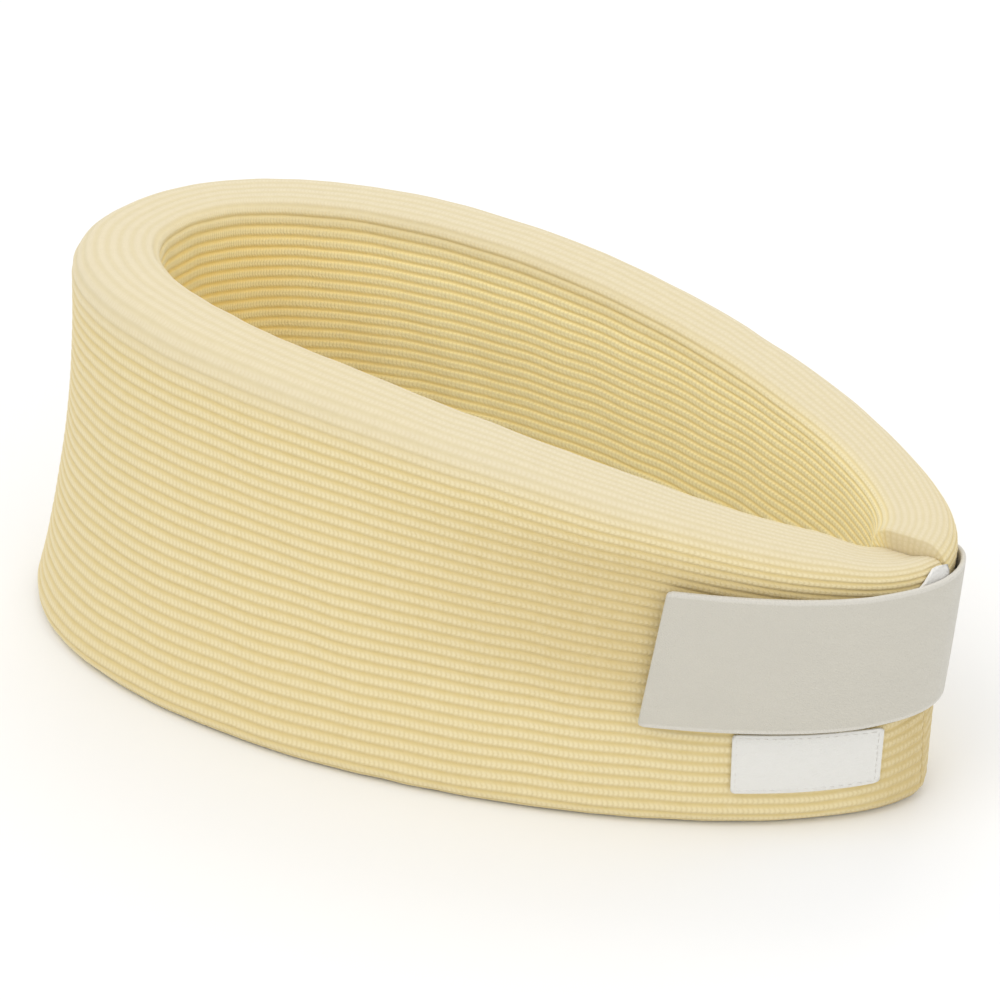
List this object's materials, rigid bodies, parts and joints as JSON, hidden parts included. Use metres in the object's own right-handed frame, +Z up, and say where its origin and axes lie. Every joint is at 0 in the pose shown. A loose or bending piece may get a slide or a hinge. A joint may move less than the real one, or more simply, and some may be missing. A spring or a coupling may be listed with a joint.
{
  "type": "cervical collar",
  "caption": "Soft foam neck collar in a ribbed knit cover, bent to a teardrop ring and closed at the front by a hook-and-loop strap that peels open.",
  "frame": {"origin": "middle of the neck opening, on the plane of the base edge", "axes": "+Z up, +X towards the closure at the front, the arm that carries the strap's sewn end on the +Y side"},
  "size_m": [0.272, 0.146, 0.1035],
  "materials": {
    "knit": "matte",
    "foam": "matte",
    "tape": "matte",
    "hooks": "matte",
    "loops": "matte",
    "label": "matte",
    "thread": "satin"
  },
  "bodies": {
    "far_half": {"foam_core_far": "foam", "knit_cover_far": "knit", "end_tuck_far": "knit", "end_seam_far": "thread", "strap_anchor": "tape", "strap_anchor_stitching": "thread"},
    "near_half": {"foam_core_near": "foam", "knit_cover_near": "knit", "end_tuck_near": "knit", "end_seam_near": "thread", "loop_pad": "loops", "loop_pad_stitching": "thread", "label": "label", "label_stitching": "thread"},
    "strap_bridge": {"strap_bridge": "tape"},
    "strap_tab": {"strap_tab": "tape", "hook_patch": "hooks"}
  },
  "joints": [
    {"name": "ring_open", "type": "hinge", "parent": "far_half", "child": "near_half", "pos_m": [-0.1315, 0, 0.05], "axis": [0, 0, -1], "range_deg": [0, 10], "stiffness_Nm_per_rad": 1.5},
    {"name": "strap_swing", "type": "hinge", "parent": "far_half", "child": "strap_bridge", "pos_m": [0.12851, 0.02218, 0.04195], "axis": [0.0528, 0.0421, 0.9977], "range_deg": [0, 100]},
    {"name": "strap_peel", "type": "hinge", "parent": "strap_bridge", "child": "strap_tab", "pos_m": [0.13039, -0.02367, 0.04875], "axis": [0.0497, -0.0396, 0.998], "range_deg": [0, 100]}
  ],
  "couplings": [
    {"joint": "strap_swing", "follows": "ring_open", "ratio": 10}
  ]
}
